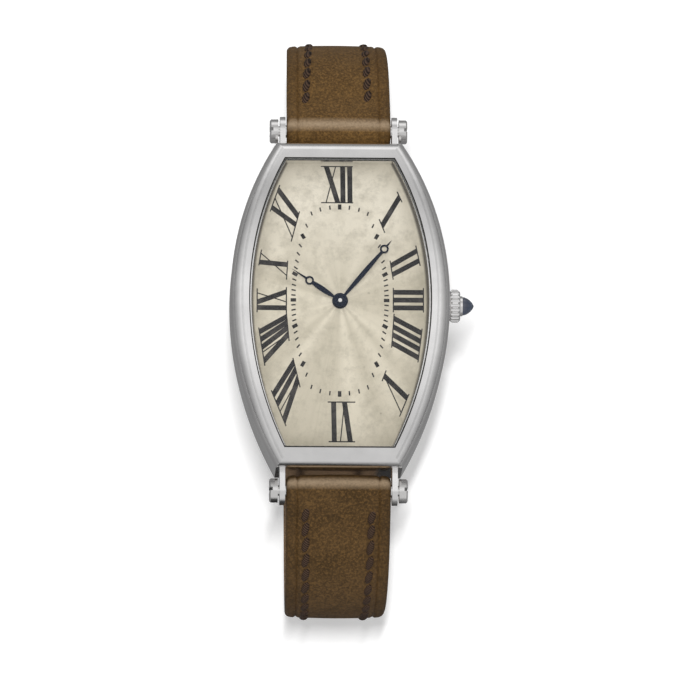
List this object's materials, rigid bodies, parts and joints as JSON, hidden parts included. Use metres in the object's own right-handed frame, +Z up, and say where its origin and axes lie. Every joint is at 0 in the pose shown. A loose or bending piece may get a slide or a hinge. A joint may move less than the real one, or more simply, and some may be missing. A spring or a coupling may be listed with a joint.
{
  "type": "tonneau wristwatch",
  "caption": "Barrel-shaped mechanical wristwatch on an unbuckled leather strap, with winding crown, working hands and train, hinged strap halves and a pin buckle.",
  "frame": {"origin": "on the flat underside of the strap's tail, below the axis of the hands", "axes": "+X towards 3 o'clock and the crown, +Y towards 12 o'clock, +Z up out of the dial"},
  "size_m": [0.0292, 0.0702, 0.0475],
  "materials": {
    "polished_steel": "polished",
    "blued_steel": "heat blued",
    "crystal": "clear",
    "gasket": "matte",
    "dial": "sunburst brushed",
    "brass": "satin",
    "jewel": "polished",
    "cabochon": "polished",
    "suede": "nubuck",
    "lining": "smooth"
  },
  "bodies": {
    "case": {"case_body": "polished_steel", "bezel": "polished_steel", "crystal": "crystal", "crystal_gasket": "gasket", "dial": "dial", "case_back": "polished_steel", "case_screws": "polished_steel", "strap_bar_upper": "polished_steel", "strap_bar_lower": "polished_steel", "strap_screws": "polished_steel", "crown_tube": "polished_steel", "movement_ring": "brass", "main_plate": "brass", "barrel_bridge": "brass", "train_bridge": "brass", "balance_cock": "brass", "pallet_cock": "brass", "movement_screws": "polished_steel", "jewels": "jewel", "hairspring": "polished_steel"},
    "barrel": {"barrel": "brass", "barrel_cover": "brass", "mainspring": "polished_steel"},
    "barrel_arbor": {"barrel_arbor": "polished_steel", "ratchet_wheel": "polished_steel"},
    "click": {"click": "polished_steel"},
    "centre_wheel": {"centre_wheel": "brass"},
    "third_wheel": {"third_wheel": "brass"},
    "fourth_wheel": {"fourth_wheel": "brass"},
    "escape_wheel": {"escape_wheel": "polished_steel"},
    "pallet_lever": {"pallet_lever": "polished_steel"},
    "balance": {"balance_wheel": "brass"},
    "minute_hand": {"cannon_pinion": "brass", "minute_hand": "blued_steel"},
    "minute_wheel": {"minute_wheel": "brass"},
    "hour_hand": {"hour_wheel": "brass", "hour_hand": "blued_steel"},
    "setting_wheel": {"setting_wheel": "polished_steel"},
    "crown_slide": {"setting_lever": "polished_steel"},
    "crown": {"winding_stem": "polished_steel", "crown": "polished_steel", "crown_cabochon": "cabochon"},
    "winding_pinion": {"winding_pinion": "polished_steel"},
    "sliding_pinion": {"sliding_pinion": "polished_steel"},
    "crown_wheel": {"crown_wheel": "polished_steel"},
    "strap_upper": {"strap_upper": "suede", "strap_upper_lining": "lining", "fixed_keeper": "suede"},
    "strap_lower": {"strap_lower": "suede", "strap_lower_lining": "lining"},
    "free_keeper": {"free_keeper": "suede"},
    "buckle": {"buckle_frame": "polished_steel", "buckle_bar": "polished_steel"},
    "buckle_tongue": {"buckle_tongue": "polished_steel"}
  },
  "joints": [
    {"name": "minute_hand_turn", "type": "hinge", "parent": "case", "child": "minute_hand", "pos_m": [0, 0, 0.0431], "axis": [0, 0, 1], "continuous": true},
    {"name": "minute_wheel_turn", "type": "hinge", "parent": "case", "child": "minute_wheel", "pos_m": [0.002, 0, 0.0431], "axis": [0, 0, 1], "continuous": true},
    {"name": "hour_hand_turn", "type": "hinge", "parent": "case", "child": "hour_hand", "pos_m": [0, 0, 0.0431], "axis": [0, 0, 1], "continuous": true},
    {"name": "setting_wheel_turn", "type": "hinge", "parent": "case", "child": "setting_wheel", "pos_m": [0.0041, 0, 0.0431], "axis": [0, 0, 1], "continuous": true},
    {"name": "escape_wheel_turn", "type": "hinge", "parent": "case", "child": "escape_wheel", "pos_m": [-0.00009, -0.00423, 0.0431], "axis": [0, 0, 1], "continuous": true},
    {"name": "fourth_wheel_turn", "type": "hinge", "parent": "case", "child": "fourth_wheel", "pos_m": [-0.00195, -0.00316, 0.0431], "axis": [0, 0, 1], "continuous": true},
    {"name": "third_wheel_turn", "type": "hinge", "parent": "case", "child": "third_wheel", "pos_m": [-0.00261, -0.0007, 0.0431], "axis": [0, 0, 1], "continuous": true},
    {"name": "centre_wheel_turn", "type": "hinge", "parent": "case", "child": "centre_wheel", "pos_m": [0, 0, 0.0431], "axis": [0, 0, 1], "continuous": true},
    {"name": "barrel_turn", "type": "hinge", "parent": "case", "child": "barrel", "pos_m": [0.00201, 0.00349, 0.0431], "axis": [0, 0, 1], "continuous": true},
    {"name": "pallet_lever_rock", "type": "hinge", "parent": "case", "child": "pallet_lever", "pos_m": [0.00166, -0.00412, 0.0427], "axis": [0, 0, 1], "range_deg": [-6, 6]},
    {"name": "balance_swing", "type": "hinge", "parent": "case", "child": "balance", "pos_m": [0.00396, -0.00396, 0.04214], "axis": [0, 0, 1], "range_deg": [-270, 270], "stiffness_Nm_per_rad": 0.00000003},
    {"name": "crown_pull", "type": "slide", "parent": "case", "child": "crown_slide", "axis": [1, 0, 0], "range_m": [0, 0.0008]},
    {"name": "crown_turn", "type": "hinge", "parent": "crown_slide", "child": "crown", "pos_m": [0.005, 0, 0.04235], "axis": [1, 0, 0], "continuous": true},
    {"name": "sliding_pinion_shift", "type": "slide", "parent": "crown", "child": "sliding_pinion", "axis": [1, 0, 0], "range_m": [-0.00135, 0]},
    {"name": "winding_pinion_turn", "type": "hinge", "parent": "case", "child": "winding_pinion", "pos_m": [0.005, 0, 0.04235], "axis": [1, 0, 0], "continuous": true},
    {"name": "crown_wheel_turn", "type": "hinge", "parent": "case", "child": "crown_wheel", "pos_m": [0.0054, 0, 0.04085], "axis": [0, 0, 1], "continuous": true},
    {"name": "ratchet_turn", "type": "hinge", "parent": "case", "child": "barrel_arbor", "pos_m": [0.00201, 0.00349, 0.04085], "axis": [0, 0, 1], "continuous": true},
    {"name": "click_lift", "type": "hinge", "parent": "case", "child": "click", "pos_m": [-0.00235, 0.0055, 0.04085], "axis": [0, 0, 1], "range_deg": [-6, 6]},
    {"name": "strap_upper_fold", "type": "hinge", "parent": "case", "child": "strap_upper", "pos_m": [0, 0.02195, 0.0392], "axis": [1, 0, 0], "range_deg": [-25, 75]},
    {"name": "strap_lower_fold", "type": "hinge", "parent": "case", "child": "strap_lower", "pos_m": [0, -0.02195, 0.0392], "axis": [-1, 0, 0], "range_deg": [-3, 75]},
    {"name": "free_keeper_slide", "type": "slide", "parent": "strap_upper", "child": "free_keeper", "axis": [0, -0.9613, 0.2756], "range_m": [0, 0.0042]},
    {"name": "buckle_turn", "type": "hinge", "parent": "strap_upper", "child": "buckle", "pos_m": [0, 0.00251, 0.01955], "axis": [1, 0, 0], "range_deg": [-40, 30]},
    {"name": "tongue_lift", "type": "hinge", "parent": "buckle", "child": "buckle_tongue", "pos_m": [0, 0.00251, 0.01955], "axis": [1, 0, 0], "range_deg": [0, 65]}
  ],
  "couplings": [
    {"joint": "minute_wheel_turn", "follows": "minute_hand_turn", "ratio": -0.33333},
    {"joint": "hour_hand_turn", "follows": "minute_hand_turn", "ratio": 0.083333},
    {"joint": "setting_wheel_turn", "follows": "minute_hand_turn", "ratio": 0.83333},
    {"joint": "fourth_wheel_turn", "follows": "escape_wheel_turn", "ratio": -0.1},
    {"joint": "third_wheel_turn", "follows": "escape_wheel_turn", "ratio": 0.013333},
    {"joint": "centre_wheel_turn", "follows": "escape_wheel_turn", "ratio": -0.0016667},
    {"joint": "barrel_turn", "follows": "escape_wheel_turn", "ratio": 0.00027778},
    {"joint": "sliding_pinion_shift", "follows": "crown_pull", "ratio": -1.6875},
    {"joint": "winding_pinion_turn", "follows": "crown_turn", "ratio": 1},
    {"joint": "crown_wheel_turn", "follows": "crown_turn", "ratio": 0.66667},
    {"joint": "ratchet_turn", "follows": "crown_turn", "ratio": -0.35897}
  ]
}
